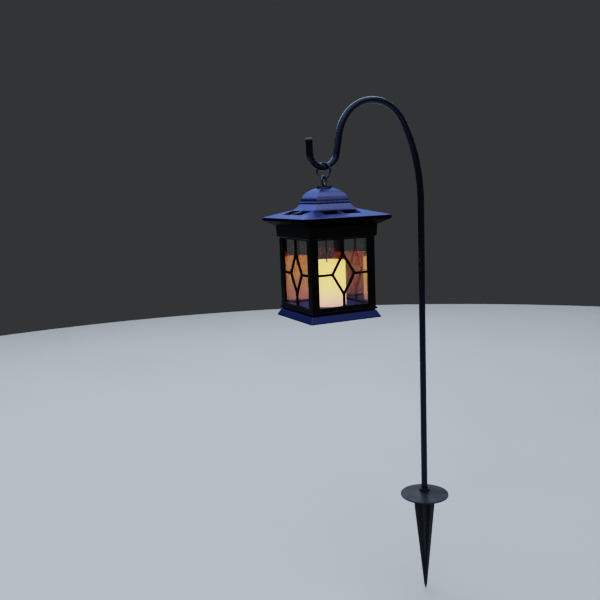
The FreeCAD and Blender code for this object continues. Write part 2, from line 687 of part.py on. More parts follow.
def battery_contacts():
    """Plate at the button end, and plate with a coned spring at the other end."""
    half = BATTERY_LONG / 2
    gap = 5.0
    y, z = BATTERY_Y, BATTERY_Z
    plates = [box(half, half + 0.5, y - 4, y + 4, 6.5, PLATFORM_Z - 2),
              box(-half - gap - 0.5, -half - gap, y - 4, y + 4, 6.5, PLATFORM_Z - 2)]
    cone = [(1.3, 3.4), (2.5, 3.0), (3.7, 2.4)]
    turns = [Part.makeTorus(r, 0.45, Vec(-half - gap + x, y, z), X_AXIS) for x, r in cone]
    struts = [Part.makeCylinder(0.4, 4.6, Vec(-half - gap, y + side * 2.7, z), X_AXIS) for side in (-1, 1)]
    spring = turns[0].fuse(turns[1:] + struts)
    return Part.makeCompound([plates[0], plates[1].fuse(spring)])


# ---- underside ----------------------------------------------------------------------------

def knob_way(play, z0, z1):
    """Space that the switch knob slides through, with play all round."""
    half = KNOB_HALF + play
    return box(SWITCH_X - half, SWITCH_X + half + SWITCH_TRAVEL, SWITCH_Y - half, SWITCH_Y + half, z0, z1)


def base_cover():
    """Cover under the base, open for the battery door and the switch."""
    cover = plate(COVER_HALF, COVER_LOW, COVER_HIGH)
    gap = DOOR_GAP
    opening = box(-DOOR_LONG / 2 - gap, DOOR_LONG / 2 + gap, DOOR_HINGE_Y - DOOR_WIDE - gap,
                  DOOR_HINGE_Y + gap, COVER_LOW - 1, COVER_HIGH + 1)
    cover = cover.cut(opening)
    cover = cover.cut(knob_way(0.4, COVER_LOW - 1, COVER_HIGH + 1))
    dish = box(SWITCH_X - 4, SWITCH_X + 4 + SWITCH_TRAVEL, SWITCH_Y - 4, SWITCH_Y + 4, COVER_LOW - 1,
               COVER_LOW + 0.8)
    cover = cover.cut(dish)
    for x, y in corners(SCREW_AT):
        cover = cover.cut(rod(1.4, COVER_LOW - 1, COVER_HIGH + 1, x, y))
        cover = cover.cut(rod(2.7, COVER_LOW - 1, COVER_LOW + 1.0, x, y))
    return cover


def base_cover_screws():
    """Four screws up through the cover into the base."""
    return Part.makeCompound([screw(x, y, COVER_LOW - 0.6, 7.0) for x, y in corners(SCREW_AT)])


def battery_door():
    """Flap over the battery with two hooks at its inner edge and a thumb notch at its outer one."""
    half = DOOR_LONG / 2
    outer_y = DOOR_HINGE_Y - DOOR_WIDE
    door = box(-half, half, outer_y, DOOR_HINGE_Y, COVER_LOW, COVER_HIGH)
    for x in (-20, 20):
        door = door.fuse(box(x - 4, x + 4, DOOR_HINGE_Y - 2.5, DOOR_HINGE_Y, COVER_HIGH, COVER_HIGH + 1.2))
        door = door.fuse(box(x - 4, x + 4, DOOR_HINGE_Y, DOOR_HINGE_Y + 3, COVER_HIGH + 0.2,
                             COVER_HIGH + 1.2))
    notch = Part.makeCylinder(6.0, 3, Vec(0, outer_y - 3.5, COVER_LOW - 2), Z_AXIS)
    for k in range(4):
        y = outer_y + 5 + 2 * k
        door = door.cut(box(-9, 9, y - 0.4, y + 0.4, COVER_LOW - 1, COVER_LOW + 0.5))
    return door.cut(notch)


def switch_body():
    """Slide switch under the board, with a track for the knob."""
    body = box(SWITCH_X - 4, SWITCH_X + 4 + SWITCH_TRAVEL, SWITCH_Y - 3, SWITCH_Y + 3, SWITCH_LOW, BOARD_Z)
    return body.cut(knob_way(0.15, SWITCH_LOW - 1, KNOB_HIGH + 0.2))


def switch_knob():
    """Ridged knob that slides along X and stands just proud of the cover."""
    x, y, half = SWITCH_X, SWITCH_Y, KNOB_HALF
    knob = box(x - half, x + half, y - half, y + half, KNOB_LOW, KNOB_HIGH)
    for k in (-1, 0, 1):
        knob = knob.cut(box(x + k - 0.2, x + k + 0.2, y - 2, y + 2, KNOB_LOW - 1, KNOB_LOW + 0.4))
    return knob


# ---- write every node ---------------------------------------------------------------------

def main():
    """Build every node and write it to parts/."""
    os.makedirs("parts", exist_ok=True)
    save("ground_stake", ground_stake())
    save("lower_tube", tube_section(-SOCKET_DEPTH + FIT_GAP, LOWER_JOINT_Z))
    save("middle_tube", tube_section(LOWER_JOINT_Z, UPPER_JOINT_Z))
    lantern_nodes = {
        "hook_section": hook_section(), "hook_tip_cap": hook_tip_cap(), "hanging_ring": hanging_ring(),
        "hanger_eye": hanger_eye(), "hanger_washer": hanger_washer(), "hanger_nut": hanger_nut(),
        "roof_shell": roof_shell(), "ceiling_plate": ceiling_plate(), "ceiling_screws": ceiling_screws(),
        "ceiling_grommet": grommet(SOFFIT_Z, SOFFIT_Z + 2.0, 3.0), "base_shell": base_shell(),
        "candle_shell": candle_shell(), "candle_grommet": candle_grommet(), "solar_lead": solar_lead(),
        "lead_block": lead_block(), "lamp_holder": lamp_holder(), "lamp_board": lamp_board(),
        "led_lamps": led_lamps(), "lamp_wires": lamp_wires(), "circuit_board": circuit_board(),
        "board_screws": board_screws(), "battery": battery(), "battery_contacts": battery_contacts(),
        "base_cover": base_cover(), "base_cover_screws": base_cover_screws(),
        "battery_door": battery_door(), "switch_body": switch_body(), "switch_knob": switch_knob(),
    }
    for side, name in enumerate(SIDES):
        lantern_nodes["side_frame_" + name] = side_frame(side)
        lantern_nodes["pane_" + name] = pane(side)
        lantern_nodes["solar_panel_" + name] = solar_panel(side)
        lantern_nodes["solar_cover_" + name] = solar_cover(side)
    for node, shape in lantern_nodes.items():
        save(node, hang(shape))


main()
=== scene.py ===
import json
import math

import bpy
from mathutils import Matrix, Vector


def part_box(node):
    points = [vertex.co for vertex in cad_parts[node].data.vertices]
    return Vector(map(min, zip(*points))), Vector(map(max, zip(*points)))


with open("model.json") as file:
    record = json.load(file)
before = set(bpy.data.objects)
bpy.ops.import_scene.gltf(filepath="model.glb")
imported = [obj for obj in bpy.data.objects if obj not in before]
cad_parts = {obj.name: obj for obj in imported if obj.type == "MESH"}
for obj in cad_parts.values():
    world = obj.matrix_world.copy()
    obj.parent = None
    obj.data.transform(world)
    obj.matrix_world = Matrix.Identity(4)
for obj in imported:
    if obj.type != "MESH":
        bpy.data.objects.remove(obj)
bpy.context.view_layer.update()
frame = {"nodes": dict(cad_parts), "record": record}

# Looks of the solar garden light. Everything is in metres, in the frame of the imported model:
# origin on the pole's axis at the ground line, +Z up, the lantern hanging on the -X side.

MM = 0.001

# ---- places taken from the frame -----------------------------------------------------------

NODES = frame["nodes"]
BASE_LOW, BASE_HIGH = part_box("base_shell")
ROOF_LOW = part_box("roof_shell")[0]
CANDLE_LOW, CANDLE_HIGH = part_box("candle_shell")
STAKE_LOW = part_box("ground_stake")[0]
LANTERN_X = (BASE_LOW[0] + BASE_HIGH[0]) / 2
LANTERN_Y = (BASE_LOW[1] + BASE_HIGH[1]) / 2
UNDERSIDE = BASE_LOW[2]
FLOOR_Z = STAKE_LOW[2] - 0.5 * MM
FLARE_FOOT = ROOF_LOW[2] + 17 * MM      # the slopes end and the roof's flare starts
BOARD_FACE = UNDERSIDE + 11.7 * MM      # upper face of the bare circuit board
SIDES = ("front", "right", "back", "left")

# ---- camera --------------------------------------------------------------------------------

CAMERA_LENS = 44.52          # on a 36 mm wide sensor
CAMERA_AZIMUTH = -28.0
CAMERA_ELEVATION = 5.8
CAMERA_DISTANCE = 1.100
CAMERA_ROLL = -1.95
AIM_HEIGHT = 0.080           # aim point above the lantern's underside
AIM_RIGHT = 2.142            # how far the aim point sits right of the picture's middle, degrees
AIM_UP = 2.831               # and above it


def add_camera():
    """Camera in front of the lantern's left corner, a little above it."""
    azimuth, elevation = math.radians(CAMERA_AZIMUTH), math.radians(CAMERA_ELEVATION)
    back = Vector((math.sin(azimuth) * math.cos(elevation), -math.cos(azimuth) * math.cos(elevation),
                   math.sin(elevation)))
    aim = Vector((LANTERN_X, LANTERN_Y, UNDERSIDE + AIM_HEIGHT))
    right = (-back).cross(Vector((0, 0, 1))).normalized()
    up = right.cross(-back)
    level = Matrix((right, up, back)).transposed()
    swing = Matrix.Rotation(math.radians(AIM_RIGHT), 3, "Y")
    dip = Matrix.Rotation(math.radians(-AIM_UP), 3, "X")
    roll = Matrix.Rotation(math.radians(CAMERA_ROLL), 3, "Z")
    turn = level @ swing @ dip @ roll
    data = bpy.data.cameras.new("camera")
    data.lens = CAMERA_LENS
    data.sensor_width = 36.0
    data.clip_start = 0.01
    camera = bpy.data.objects.new("camera", data)
    camera.matrix_world = Matrix.Translation(aim + back * CAMERA_DISTANCE) @ turn.to_4x4()
    bpy.context.scene.collection.objects.link(camera)
    bpy.context.scene.camera = camera


# ---- shader helpers ------------------------------------------------------------------------

class Finish:
    """A material with one Principled shader, and the few node calls that the finishes share."""

    def __init__(self, name, **settings):
        self.material = bpy.data.materials.new(name)
        self.material.use_nodes = True
        self.tree = self.material.node_tree
        self.tree.nodes.clear()
        self.output = self.tree.nodes.new("ShaderNodeOutputMaterial")
        self.shader = self.tree.nodes.new("ShaderNodeBsdfPrincipled")
        self.tree.links.new(self.shader.outputs[0], self.output.inputs["Surface"])
        self.place = self.tree.nodes.new("ShaderNodeTexCoord").outputs["Object"]
        for socket, value in settings.items():
            self.shader.inputs[socket.replace("_", " ")].default_value = value

    def feed(self, socket, value):
        """Put a number, colour or output into an input."""
        if isinstance(value, bpy.types.NodeSocket):
            self.tree.links.new(value, socket)
        else:
            if isinstance(value, tuple) and len(value) == 3 and len(socket.default_value) == 4:
                value = (*value, 1.0)
            socket.default_value = value

    def drive(self, socket, value):
        """Put an output into one of the Principled shader's inputs."""
        self.feed(self.shader.inputs[socket], value)

    def moved(self, at=(0, 0, 0), turn=(0, 0, 0), scale=(1, 1, 1)):
        """Object coordinates measured from a place, turned and scaled."""
        node = self.tree.nodes.new("ShaderNodeMapping")
        node.vector_type = "TEXTURE"
        self.feed(node.inputs["Vector"], self.place)
        node.inputs["Location"].default_value = at
        node.inputs["Rotation"].default_value = turn
        node.inputs["Scale"].default_value = scale
        return node.outputs[0]

    def noise(self, size, detail=3.0, rough=0.5, source=None, warp=0.0):
        """Noise from 0 to 1 whose features are about size metres across."""
        node = self.tree.nodes.new("ShaderNodeTexNoise")
        self.feed(node.inputs["Vector"], source or self.place)
        node.inputs["Scale"].default_value = 1.0 / size
        node.inputs["Detail"].default_value = detail
        node.inputs["Roughness"].default_value = rough
        node.inputs["Distortion"].default_value = warp
        return node.outputs["Fac"]

    def cells(self, size, kind, random):
        """Voronoi pattern with cells about size metres across."""
        node = self.tree.nodes.new("ShaderNodeTexVoronoi")
        node.feature = kind
        self.feed(node.inputs["Vector"], self.place)
        node.inputs["Scale"].default_value = 1.0 / size
        node.inputs["Randomness"].default_value = random
        return node.outputs["Distance"]

    def span(self, value, low, high, out_low=0.0, out_high=1.0):
        """Map low..high to out_low..out_high, held at both ends."""
        node = self.tree.nodes.new("ShaderNodeMapRange")
        self.feed(node.inputs["Value"], value)
        ends = {"From Min": low, "From Max": high, "To Min": out_low, "To Max": out_high}
        for name, number in ends.items():
            node.inputs[name].default_value = number
        return node.outputs[0]

    def maths(self, operation, a, b=0.0, clamp=False):
        """One Math node."""
        node = self.tree.nodes.new("ShaderNodeMath")
        node.operation = operation
        node.use_clamp = clamp
        self.feed(node.inputs[0], a)
        self.feed(node.inputs[1], b)
        return node.outputs[0]

    def blend(self, share, a, b):
        """Colour a where share is 0, colour b where it is 1."""
        node = self.tree.nodes.new("ShaderNodeMix")
        node.data_type = "RGBA"
        colour_a, colour_b = (socket for socket in node.inputs if socket.type == "RGBA")
        self.feed(node.inputs["Factor"], share)
        self.feed(colour_a, a)
        self.feed(colour_b, b)
        return next(socket for socket in node.outputs if socket.type == "RGBA")

    def ramp(self, value, stops):
        """Colour ramp from (position, colour) stops."""
        node = self.tree.nodes.new("ShaderNodeValToRGB")
        self.feed(node.inputs[0], value)
        elements = node.color_ramp.elements
        while len(elements) < len(stops):
            elements.new(0.5)
        for element, (position, colour) in zip(elements, stops):
            element.position = position
            element.color = (*colour, 1.0)
        return node.outputs[0]

    def axis(self, letter, source=None):
        """One coordinate of a vector, in metres for object coordinates."""
        node = self.tree.nodes.new("ShaderNodeSeparateXYZ")
        self.feed(node.inputs[0], source or self.place)
        return node.outputs[letter]

    def facing_up(self, low=0.55, high=0.98):
        """0 where the normal's Z is under low, as on undersides, and 1 where it is over high."""
        geometry = self.tree.nodes.new("ShaderNodeNewGeometry")
        return self.span(self.axis("Z", geometry.outputs["Normal"]), low, high)

    def edges(self, radius):
        """1 along sharp edges, fading to 0 within about radius."""
        bevel = self.tree.nodes.new("ShaderNodeBevel")
        bevel.samples = 4
        bevel.inputs["Radius"].default_value = radius
        geometry = self.tree.nodes.new("ShaderNodeNewGeometry")
        node = self.tree.nodes.new("ShaderNodeVectorMath")
        node.operation = "DOT_PRODUCT"
        self.feed(node.inputs[0], bevel.outputs[0])
        self.feed(node.inputs[1], geometry.outputs["Normal"])
        return self.span(node.outputs["Value"], 0.995, 0.86)

    def bump(self, height, depth, strength=1.0, under=None):
        """Normal from a height of 0 to 1 that stands for depth metres."""
        node = self.tree.nodes.new("ShaderNodeBump")
        node.inputs["Strength"].default_value = strength
        node.inputs["Distance"].default_value = depth
        self.feed(node.inputs["Height"], height)
        if under is not None:
            self.feed(node.inputs["Normal"], under)
        return node.outputs[0]


def moulded_plastic(name, colour, dust, rough, grain=0.35 * MM, grain_depth=0.012 * MM, **settings):
    """Black moulded plastic: fine spark texture, faint flow marks, dust on top and rubbed edges."""
    finish = Finish(name, **settings)
    flow = finish.noise(22 * MM, detail=4, rough=0.55, warp=0.6)
    spark = finish.noise(grain, detail=2)
    rubbed = finish.maths("MULTIPLY", finish.edges(0.7 * MM),
                          finish.span(finish.noise(6 * MM, 5), 0.42, 0.62))
    settled = finish.maths("MULTIPLY", finish.facing_up(),
                           finish.span(finish.noise(9 * MM, 6, 0.62), 0.38, 0.75))
    tone = finish.blend(finish.span(flow, 0.3, 0.7), tuple(0.85 * part for part in colour), colour)
    tone = finish.blend(finish.maths("MULTIPLY", settled, 0.12), tone, dust)
    tone = finish.blend(finish.maths("MULTIPLY", rubbed, 0.35), tone,
                        tuple(2.2 * part + 0.02 for part in colour))
    gloss = finish.maths("ADD", finish.span(flow, 0.3, 0.7, rough - 0.03, rough + 0.04),
                         finish.maths("MULTIPLY", settled, 0.08))
    polish = finish.maths("MULTIPLY", rubbed, 0.08)
    finish.drive("Roughness", finish.maths("SUBTRACT", gloss, polish, clamp=True))
    rolling = finish.bump(flow, 0.10 * MM, 0.35)
    finish.drive("Normal", finish.bump(spark, grain_depth, 0.6, under=rolling))
    finish.drive("Base Color", tone)
    return finish, tone


def painted_sheen_plastic(name, colour, rough, sheen_painted_above):
    """Black plastic with a painted blue sky sheen where it faces up or lies above a height, painted
    shade on the faces below it, and painted highlights along its edges.
    """
    finish, tone = moulded_plastic(name, colour, (0.10, 0.13, 0.22), rough, Metallic=0.8)
    # painted highlight: a pale line along the edges, where the bevels would catch the light
    wear_and_edge_highlight = finish.maths("MULTIPLY", finish.edges(1.6 * MM),
                        finish.span(finish.noise(5 * MM, 4), 0.25, 0.45, 0.0, 0.85))
    tone = finish.blend(wear_and_edge_highlight, tone, (0.135, 0.120, 0.175))
    # painted sheen and shade: faces turned up, and everything above the height, get a blue sky
    # reflection; the rest gets a near-black colour and reflection tint as painted shade
    painted_sheen_share = finish.maths("ADD", finish.facing_up(0.05, 0.25),
                         finish.span(finish.axis("Z"), sheen_painted_above, sheen_painted_above + MM), clamp=True)
    finish.drive("Base Color", finish.blend(painted_sheen_share, (0.004, 0.0045, 0.006), tone))
    finish.drive("Specular Tint", finish.blend(painted_sheen_share, (0.02, 0.02, 0.03), (0.31, 0.37, 0.68)))
    return finish.material


def roof_plastic():
    """Black lacquered plastic of the roof, its blue colour a painted sky reflection."""
    return painted_sheen_plastic("roof_plastic", (0.110, 0.116, 0.220), 0.27, FLARE_FOOT)


def base_plastic():
    """The same plastic on the base, a little darker: a shaded copy of the roof's painted blue sky
    reflection.
    """
    return painted_sheen_plastic("base_plastic", (0.040, 0.052, 0.125), 0.32, BASE_HIGH[2])


def frame_plastic():
    """Dead black plastic of the four side frames and the ceiling."""
    return moulded_plastic("frame_plastic", (0.0022, 0.0022, 0.0026), (0.02, 0.02, 0.02), 0.38,
                           Specular_IOR_Level=0.14)[0].material


def cover_plastic():
    """Textured black plastic of the underside."""
    return moulded_plastic("cover_plastic", (0.030, 0.031, 0.034), (0.10, 0.10, 0.10), 0.46,
                           grain=0.5 * MM, grain_depth=0.03 * MM)[0].material


def stake_plastic():
    """Tough black plastic of the spike, with a coarser grain and pale scuffs."""
    finish = Finish("stake_plastic")
    streak = finish.moved(scale=(1, 1, 9))
    scuff = finish.span(finish.noise(2.4 * MM, 6, 0.7, source=streak), 0.56, 0.74)
    grain = finish.noise(0.7 * MM, 3)
    rubbed = finish.edges(0.9 * MM)
    tone = finish.blend(finish.maths("MULTIPLY", scuff, 0.35),
                        (0.016, 0.017, 0.020), (0.07, 0.072, 0.078))
    tone = finish.blend(finish.maths("MULTIPLY", rubbed, 0.3), tone, (0.09, 0.092, 0.10))
    finish.drive("Base Color", tone)
    finish.drive("Roughness", finish.span(finish.noise(12 * MM, 4), 0.3, 0.7, 0.42, 0.56))
    finish.drive("Normal", finish.bump(grain, 0.05 * MM, 0.7))
    return finish.material


def painted_tube():
    """Black stoving paint on the steel tube: orange peel, a few fine scratches along it, and a painted
    blue sky sheen in its reflections.
    """
    # the blue Specular Tint is a painted sky sheen
    finish = Finish("painted_tube", Coat_Weight=0.25, Coat_Roughness=0.12,
                    Specular_Tint=(0.45, 0.58, 1.0, 1.0))
    peel = finish.noise(1.6 * MM, 2, 0.4)
    along = finish.moved(scale=(1, 1, 40))
    scratch = finish.span(finish.noise(0.5 * MM, 4, 0.7, source=along), 0.66, 0.74)
    wear_and_edge_highlight = finish.maths("MULTIPLY", finish.edges(0.5 * MM),
                        finish.span(finish.noise(3 * MM, 5), 0.4, 0.6))
    tone = finish.blend(finish.span(finish.noise(18 * MM, 4), 0.35, 0.7),
                        (0.003, 0.0035, 0.006), (0.005, 0.006, 0.011))
    tone = finish.blend(finish.maths("MULTIPLY", scratch, 0.25), tone, (0.08, 0.085, 0.10))
    tone = finish.blend(finish.maths("MULTIPLY", wear_and_edge_highlight, 0.5), tone, (0.13, 0.13, 0.14))
    finish.drive("Base Color", tone)
    finish.drive("Roughness", finish.span(finish.noise(7 * MM, 4), 0.3, 0.7, 0.24, 0.36))
    finish.drive("Normal", finish.bump(peel, 0.05 * MM, 0.5))
    return finish.material


def tip_plastic():
    """Plastic plug in the hook's end, coloured a pale grey-blue as a painted sky reflection, with a
    faint moulding swirl.
    """
    finish = Finish("tip_plastic")
    swirl = finish.noise(3 * MM, 4, warp=1.5)
    # pale grey-blue: painted sky reflection
    finish.drive("Base Color", finish.blend(swirl, (0.085, 0.100, 0.145), (0.130, 0.150, 0.210)))
    finish.drive("Roughness", finish.span(swirl, 0.3, 0.7, 0.36, 0.48))
    finish.drive("Normal", finish.bump(finish.noise(0.4 * MM, 2), 0.02 * MM, 0.6))
    return finish.material


def ring_wire():
    """Black-plated wire, bright where it rubs."""
    finish = Finish("ring_wire", Metallic=0.7)
    drawn = finish.noise(0.5 * MM, 3, source=finish.moved(scale=(6, 6, 1)))
    bare = finish.span(finish.noise(1.8 * MM, 5, 0.6), 0.60, 0.72)
    tone = finish.blend(finish.maths("MULTIPLY", bare, 0.6), (0.060, 0.070, 0.105), (0.36, 0.38, 0.46))
    finish.drive("Base Color", tone)
    finish.drive("Roughness", finish.span(drawn, 0.3, 0.7, 0.16, 0.28))
    finish.drive("Normal", finish.bump(drawn, 0.02 * MM, 0.5))
    return finish.material


def zinc_steel():
    """Bright zinc plating with a fine turned grain and duller patches."""
    finish = Finish("zinc_steel", Metallic=1.0)
    patch = finish.noise(1.6 * MM, 4, 0.6)
    turned = finish.noise(0.25 * MM, 2)
    finish.drive("Base Color", finish.blend(patch, (0.48, 0.49, 0.50), (0.68, 0.69, 0.72)))
    finish.drive("Roughness", finish.span(patch, 0.3, 0.7, 0.24, 0.42))
    finish.drive("Normal", finish.bump(turned, 0.01 * MM, 0.6))
    return finish.material


def see_through(name, ior, tint, smear_rough, **settings):
    """Polished clear plastic that lets lamps shine through, with faint smears."""
    finish = Finish(name, IOR=ior, Transmission_Weight=1.0, **settings)
    finish.shader.inputs["Base Color"].default_value = (*tint, 1.0)
    smear = finish.span(finish.noise(22 * MM, 2, 0.5, warp=0.4), 0.50, 0.80)
    finish.drive("Roughness", finish.maths("MULTIPLY", smear, smear_rough))
    clear = finish.tree.nodes.new("ShaderNodeBsdfTransparent")
    clear.inputs[0].default_value = (*(0.94 * part for part in tint), 1.0)
    path = finish.tree.nodes.new("ShaderNodeLightPath")
    either = finish.tree.nodes.new("ShaderNodeMixShader")
    finish.feed(either.inputs[0], path.outputs["Is Shadow Ray"])
    finish.tree.links.new(finish.shader.outputs[0], either.inputs[1])
    finish.tree.links.new(clear.outputs[0], either.inputs[2])
    finish.tree.links.new(either.outputs[0], finish.output.inputs["Surface"])
    return finish.material


def clear_pane():
    """Thin glossy pane, its reflections given a painted warm pink-red tint."""
    # the pink-red Specular Tint is a painted warm tint on the pane's reflections
    return see_through("clear_pane", 2.30, (0.97, 0.975, 0.98), 0.04,
                       Specular_Tint=(1.0, 0.50, 0.60, 1.0))


def cell_cover():
    """Clear plate over a solar cell, with little glare."""
    return see_through("cell_cover", 1.006, (0.96, 0.97, 0.99), 0.10)


STRIP_WIDE = 2.6 * MM
BUS_PLACES = (3.8 * MM, 28.0 * MM)      # a cell's two bus lines, from the middle of its side


def solar_cell(side):
    """Thin-film cell: dark strips parted by fine laser lines, with a silver bus line at each end."""
    finish = Finish("solar_cell", Metallic=1.0, Specular_Tint=(0.035, 0.03, 0.04, 1.0))
    local = finish.moved(at=(LANTERN_X, LANTERN_Y, 0), turn=(0, 0, math.radians(90 * side)))
    along = finish.axis("X", local)
    phase = finish.maths("ABSOLUTE", finish.maths("SUBTRACT", finish.maths(
        "FRACT", finish.maths("DIVIDE", along, STRIP_WIDE)), 0.5))
    line = finish.span(phase, 0.470, 0.485)
    film = finish.blend(finish.noise(5 * MM, 4), (0.020, 0.012, 0.016), (0.045, 0.022, 0.026))
    film = finish.blend(finish.maths("MULTIPLY", line, 0.65), film, (0.16, 0.13, 0.12))
    from_middle = finish.maths("ABSOLUTE", along)
    bus_in, bus_out = (
        finish.span(finish.maths("ABSOLUTE", finish.maths("SUBTRACT", from_middle, place)),
                    0.45 * MM, 0.3 * MM) for place in BUS_PLACES)
    bus = finish.maths("ADD", bus_in, bus_out, clamp=True)
    finish.drive("Base Color", finish.blend(bus, film, (0.62, 0.62, 0.60)))
    finish.drive("Roughness", finish.span(bus, 0.0, 1.0, 0.24, 0.35))
    finish.drive("Normal", finish.bump(finish.maths("SUBTRACT", 1.0, line), 0.03 * MM, 0.5))
    return finish.material


def candle_plastic():
    """Wax-like shell with a painted glow standing for the light of the lamps inside: hottest above the
    lamps, paler and pinker towards its foot.
    """
    finish = Finish("candle_plastic", Emission_Strength=1.0, Subsurface_Weight=0.35,
                    Subsurface_Scale=0.004, IOR=1.45)
    height = finish.span(finish.axis("Z"), CANDLE_LOW[2], CANDLE_HIGH[2])
    streak = finish.noise(9 * MM, 4, 0.5, source=finish.moved(scale=(1, 1, 3)))
    mottle = finish.noise(2.2 * MM, 3)
    # painted glow: emission standing in for the lamps' light shining through the shell
    painted_glow = finish.ramp(finish.maths("ADD", height, finish.span(streak, 0.2, 0.8, -0.03, 0.03)), (
        (0.0, (1.05, 0.37, 0.38)), (0.14, (1.15, 0.52, 0.33)), (0.34, (1.26, 0.78, 0.22)),
        (0.62, (1.32, 0.92, 0.155)), (0.92, (1.55, 0.89, 0.14)), (1.0, (1.6, 0.74, 0.13))))
    finish.drive("Emission Color",
                 finish.blend(finish.span(mottle, 0.2, 0.8, 0.0, 0.12), painted_glow, (1.3, 0.75, 0.14)))
    finish.drive("Base Color", finish.blend(streak, (0.80, 0.66, 0.42), (0.90, 0.78, 0.55)))
    finish.drive("Roughness", finish.span(mottle, 0.3, 0.7, 0.34, 0.46))
    finish.drive("Normal", finish.bump(streak, 0.25 * MM, 0.5))
    return finish.material


def led_lens():
    """Lit lamp lens, whiter at its tip."""
    finish = Finish("led_lens", Emission_Strength=14.0, IOR=1.5)
    low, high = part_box("led_lamps")
    height = finish.span(finish.axis("Z"), low[2], high[2])
    finish.drive("Emission Color",
                 finish.ramp(height, ((0.0, (0.5, 0.26, 0.08)), (1.0, (1.0, 0.78, 0.42)))))
    finish.drive("Base Color", finish.blend(height, (0.8, 0.7, 0.45), (0.95, 0.92, 0.8)))
    finish.drive("Roughness", finish.span(finish.noise(0.6 * MM), 0.3, 0.7, 0.08, 0.16))
    return finish.material


def board_green():
    """Solder mask with copper tracks under it, pads and a fine weave, and black raised chips."""
    finish = Finish("board_green", Coat_Weight=0.4, Coat_Roughness=0.2)
    grid = finish.cells(3.2 * MM, "DISTANCE_TO_EDGE", 0.35)
    track = finish.span(grid, 0.16, 0.12)
    pad = finish.span(finish.cells(3.2 * MM, "F1", 0.35), 0.16, 0.13)
    weave = finish.noise(0.3 * MM, 1)
    tone = finish.blend(track, (0.010, 0.060, 0.022), (0.022, 0.125, 0.045))
    tone = finish.blend(pad, tone, (0.62, 0.62, 0.60))
    board_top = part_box("circuit_board")[1][2]
    chip = finish.maths("MULTIPLY", finish.span(finish.axis("Z"), BOARD_FACE, BOARD_FACE + 0.05 * MM),
                        finish.span(finish.axis("Z"), board_top + 0.2 * MM, board_top + 0.1 * MM))
    tone = finish.blend(chip, tone, (0.018, 0.018, 0.020))
    finish.drive("Base Color", tone)
    finish.drive("Metallic", finish.maths("MULTIPLY", pad, 0.8))
    finish.drive("Roughness", finish.span(weave, 0.3, 0.7, 0.30, 0.42))
    finish.drive("Normal", finish.bump(track, 0.05 * MM, 0.6))
    return finish.material


def battery_wrap():
    """Green shrink wrap with a pale band, and bare metal at both ends."""
    finish = Finish("battery_wrap")
    low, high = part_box("battery")
    along = finish.span(finish.axis("X"), low[0], high[0])
    band = finish.maths("MULTIPLY", finish.span(along, 0.66, 0.665), finish.span(along, 0.80, 0.795))
    thin = finish.maths("MULTIPLY", finish.span(along, 0.83, 0.835), finish.span(along, 0.85, 0.845))
    ends = finish.maths("ADD", finish.span(along, 0.975, 0.98), finish.span(along, 0.012, 0.008),
                        clamp=True)
    crease = finish.noise(3 * MM, 5, 0.6, source=finish.moved(scale=(4, 1, 1)))
    tone = finish.blend(crease, (0.020, 0.16, 0.055), (0.030, 0.22, 0.080))
    tone = finish.blend(finish.maths("ADD", band, thin, clamp=True), tone, (0.72, 0.74, 0.70))
    finish.drive("Base Color", finish.blend(ends, tone, (0.66, 0.66, 0.65)))
    finish.drive("Metallic", ends)
    finish.drive("Roughness", finish.span(crease, 0.3, 0.7, 0.24, 0.38))
    finish.drive("Normal", finish.bump(crease, 0.08 * MM, 0.5))
    return finish.material


def nickel_contact():
    """Nickel-plated spring steel with light handling marks."""
    finish = Finish("nickel_contact", Metallic=1.0)
    stain = finish.noise(2.5 * MM, 5, 0.6)
    finish.drive("Base Color", finish.blend(stain, (0.58, 0.56, 0.51), (0.76, 0.74, 0.69)))
    finish.drive("Roughness", finish.span(stain, 0.3, 0.7, 0.16, 0.30))
    finish.drive("Normal", finish.bump(finish.noise(0.3 * MM, 2), 0.01 * MM, 0.5))
    return finish.material


def grommet_rubber():
    """Soft black rubber with bloom."""
    finish = Finish("grommet_rubber")
    bloom = finish.noise(1.5 * MM, 4, 0.6)
    finish.drive("Base Color", finish.blend(bloom, (0.016, 0.016, 0.017), (0.040, 0.040, 0.042)))
    finish.drive("Roughness", finish.span(bloom, 0.3, 0.7, 0.60, 0.75))
    finish.drive("Normal", finish.bump(finish.noise(0.3 * MM, 2), 0.02 * MM, 0.5))
    return finish.material


def lead_sheath():
    """Thin brown cable sheath, slightly ribbed by the strands inside."""
    finish = Finish("lead_sheath")
    twist = finish.noise(1.2 * MM, 2, source=finish.moved(scale=(1, 1, 5)))
    finish.drive("Base Color", finish.blend(twist, (0.040, 0.018, 0.012), (0.085, 0.036, 0.020)))
    finish.drive("Roughness", finish.span(twist, 0.3, 0.7, 0.34, 0.46))
    finish.drive("Normal", finish.bump(twist, 0.06 * MM, 0.5))
    return finish.material


def connector_plastic():
    """Natural nylon, slightly yellow where it is thick."""
    finish = Finish("connector_plastic", Subsurface_Weight=0.15, Subsurface_Scale=0.001)
    cloud = finish.noise(3 * MM, 4)
    finish.drive("Base Color", finish.blend(cloud, (0.60, 0.57, 0.48), (0.72, 0.70, 0.63)))
    finish.drive("Roughness", finish.span(cloud, 0.3, 0.7, 0.38, 0.50))
    finish.drive("Normal", finish.bump(finish.noise(0.4 * MM, 2), 0.02 * MM, 0.5))
    return finish.material


def switch_plastic():
    """Dark grey plastic of the slide switch."""
    return moulded_plastic("switch_plastic", (0.075, 0.077, 0.082), (0.2, 0.2, 0.2), 0.42,
                           grain=0.3 * MM)[0].material


# ---- finishes on the CAD nodes -------------------------------------------------------------

# each function has the name of the material slot that it serves
MAKERS = (
    stake_plastic, painted_tube, tip_plastic, ring_wire, zinc_steel, roof_plastic, frame_plastic,
    base_plastic, cover_plastic, clear_pane, cell_cover, candle_plastic, led_lens, board_green,
    battery_wrap, nickel_contact, grommet_rubber, lead_sheath, connector_plastic, switch_plastic,
)

